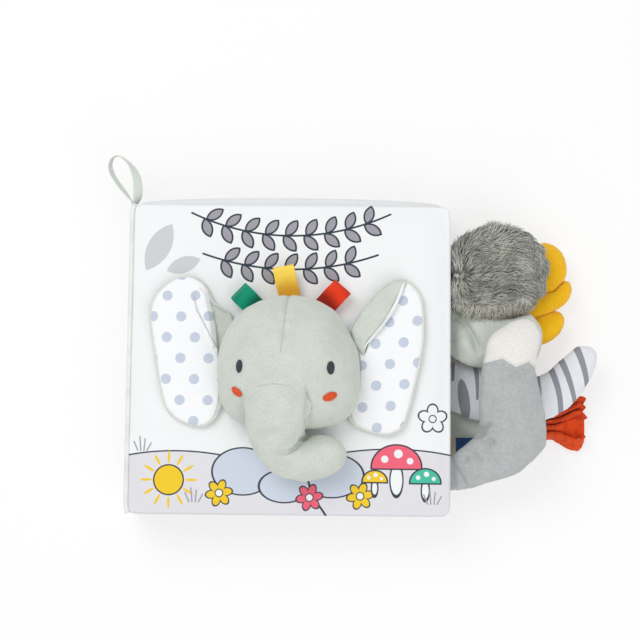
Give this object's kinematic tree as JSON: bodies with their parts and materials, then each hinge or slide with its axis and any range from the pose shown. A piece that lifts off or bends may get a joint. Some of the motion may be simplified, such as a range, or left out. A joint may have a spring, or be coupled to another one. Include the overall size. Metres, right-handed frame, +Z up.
{
  "type": "crinkle cloth book",
  "caption": "Soft cloth book for babies: padded covers, crinkle leaves, a plush elephant head with floppy ears and trunk on the front, and plush tails along the fore-edge.",
  "frame": {"origin": "middle of the back cover's underside, where the shut book rests", "axes": "+X from the spine to the tails at the fore-edge, +Y up the page towards the hanging loop, +Z up through the front cover and the plush head"},
  "size_m": [0.2803, 0.2045, 0.0915],
  "materials": {
    "cover_cloth": "smooth printed polyester",
    "leaf_cloth": "smooth printed polyester",
    "wadding": "polyester wadding",
    "crinkle_film": "thin crinkle film",
    "sage_plush": "short-pile plush",
    "ear_cotton": "plain cloth with printed dots",
    "charcoal_thread": "satin stitch",
    "coral_thread": "satin stitch",
    "green_satin": "satin ribbon",
    "yellow_satin": "satin ribbon",
    "red_satin": "satin ribbon",
    "sage_ribbon": "grosgrain ribbon",
    "grey_plush": "short-pile plush",
    "white_plush": "long-pile plush",
    "grey_fur": "faux fur",
    "golden_plush": "ribbed plush",
    "striped_cloth": "smooth printed cloth",
    "orange_felt": "felt",
    "navy_ribbon": "woven ribbon"
  },
  "bodies": {
    "back_cover": {"back_cover_inner_cloth": "leaf_cloth", "back_cover_outer_cloth": "cover_cloth", "back_cover_wadding": "wadding", "back_cover_film": "crinkle_film", "fringe_tail": "sage_plush", "felt_strip_1": "orange_felt", "felt_strip_2": "orange_felt", "felt_strip_3": "orange_felt", "felt_strip_4": "orange_felt", "felt_strip_5": "orange_felt"},
    "spine": {"spine_cloth": "cover_cloth"},
    "front_cover": {"front_cover_outer_cloth": "cover_cloth", "front_cover_inner_cloth": "leaf_cloth", "front_cover_wadding": "wadding", "front_cover_film": "crinkle_film", "head": "sage_plush", "eye_left": "charcoal_thread", "eye_right": "charcoal_thread", "cheek_left": "coral_thread", "cheek_right": "coral_thread", "tag_green": "green_satin", "tag_yellow": "yellow_satin", "tag_red": "red_satin"},
    "leaf_1": {"leaf_1_front_cloth": "leaf_cloth", "leaf_1_back_cloth": "leaf_cloth", "leaf_1_film": "crinkle_film"},
    "leaf_2": {"leaf_2_front_cloth": "leaf_cloth", "leaf_2_back_cloth": "leaf_cloth", "leaf_2_film": "crinkle_film", "sage_tail": "sage_plush", "fur_tuft": "grey_fur"},
    "leaf_3": {"leaf_3_front_cloth": "leaf_cloth", "leaf_3_back_cloth": "leaf_cloth", "leaf_3_film": "crinkle_film", "golden_tail_root": "golden_plush", "golden_lobe_top": "golden_plush", "golden_lobe_middle": "golden_plush", "golden_lobe_bottom": "golden_plush"},
    "leaf_4": {"leaf_4_front_cloth": "leaf_cloth", "leaf_4_back_cloth": "leaf_cloth", "leaf_4_film": "crinkle_film", "striped_tail": "striped_cloth", "label": "navy_ribbon"},
    "trunk": {"trunk": "sage_plush"},
    "left_ear": {"ear_left_back": "sage_plush", "ear_left_lining": "ear_cotton", "ear_left_film": "crinkle_film"},
    "right_ear": {"ear_right_back": "sage_plush", "ear_right_lining": "ear_cotton", "ear_right_film": "crinkle_film"},
    "grey_tail": {"grey_tail": "grey_plush", "grey_tail_tip": "white_plush"},
    "loop": {"hanging_loop": "sage_ribbon"}
  },
  "joints": [
    {"name": "spine_opening", "type": "hinge", "parent": "back_cover", "child": "spine", "pos_m": [-0.0897, 0, 0.004], "axis": [0, -1, 0], "range_deg": [0, 60]},
    {"name": "cover_opening", "type": "hinge", "parent": "spine", "child": "front_cover", "pos_m": [-0.0897, 0, 0.0385], "axis": [0, -1, 0], "range_deg": [0, 90]},
    {"name": "leaf_1_opening", "type": "hinge", "parent": "spine", "child": "leaf_1", "pos_m": [-0.08803, 0, 0.031], "axis": [0, -1, 0], "range_deg": [0, 62]},
    {"name": "leaf_2_opening", "type": "hinge", "parent": "spine", "child": "leaf_2", "pos_m": [-0.08803, 0, 0.0245], "axis": [0, -1, 0], "range_deg": [0, 34]},
    {"name": "leaf_3_opening", "type": "hinge", "parent": "spine", "child": "leaf_3", "pos_m": [-0.08803, 0, 0.018], "axis": [0, -1, 0], "range_deg": [0, 6]},
    {"name": "leaf_4_opening", "type": "hinge", "parent": "spine", "child": "leaf_4", "pos_m": [-0.08803, 0, 0.0115], "axis": [0, -1, 0], "range_deg": [-24, 0]},
    {"name": "left_ear_lift", "type": "hinge", "parent": "front_cover", "child": "left_ear", "pos_m": [-0.0374, 0, 0.0525], "axis": [0, 1, 0], "range_deg": [0, 60]},
    {"name": "right_ear_lift", "type": "hinge", "parent": "front_cover", "child": "right_ear", "pos_m": [0.0382, 0, 0.0525], "axis": [0, -1, 0], "range_deg": [0, 60]},
    {"name": "trunk_lift", "type": "hinge", "parent": "front_cover", "child": "trunk", "pos_m": [-0.0031, -0.01064, 0.0859], "axis": [-0.9638, 0.2667, 0], "range_deg": [0, 35]},
    {"name": "grey_tail_lift", "type": "hinge", "parent": "leaf_1", "child": "grey_tail", "pos_m": [0.087, 0, 0.031], "axis": [0, -1, 0], "range_deg": [0, 34]},
    {"name": "loop_swing", "type": "hinge", "parent": "spine", "child": "loop", "pos_m": [-0.09, 0.0883, 0.034], "axis": [0, 0, 1], "range_deg": [-10, 60]}
  ],
  "couplings": [
    {"joint": "spine_opening", "follows": "cover_opening", "ratio": 0.6666},
    {"joint": "leaf_1_opening", "follows": "cover_opening", "ratio": 0.6888},
    {"joint": "leaf_2_opening", "follows": "cover_opening", "ratio": 0.3777},
    {"joint": "leaf_3_opening", "follows": "cover_opening", "ratio": 0.0666},
    {"joint": "leaf_4_opening", "follows": "cover_opening", "ratio": -0.2666}
  ]
}
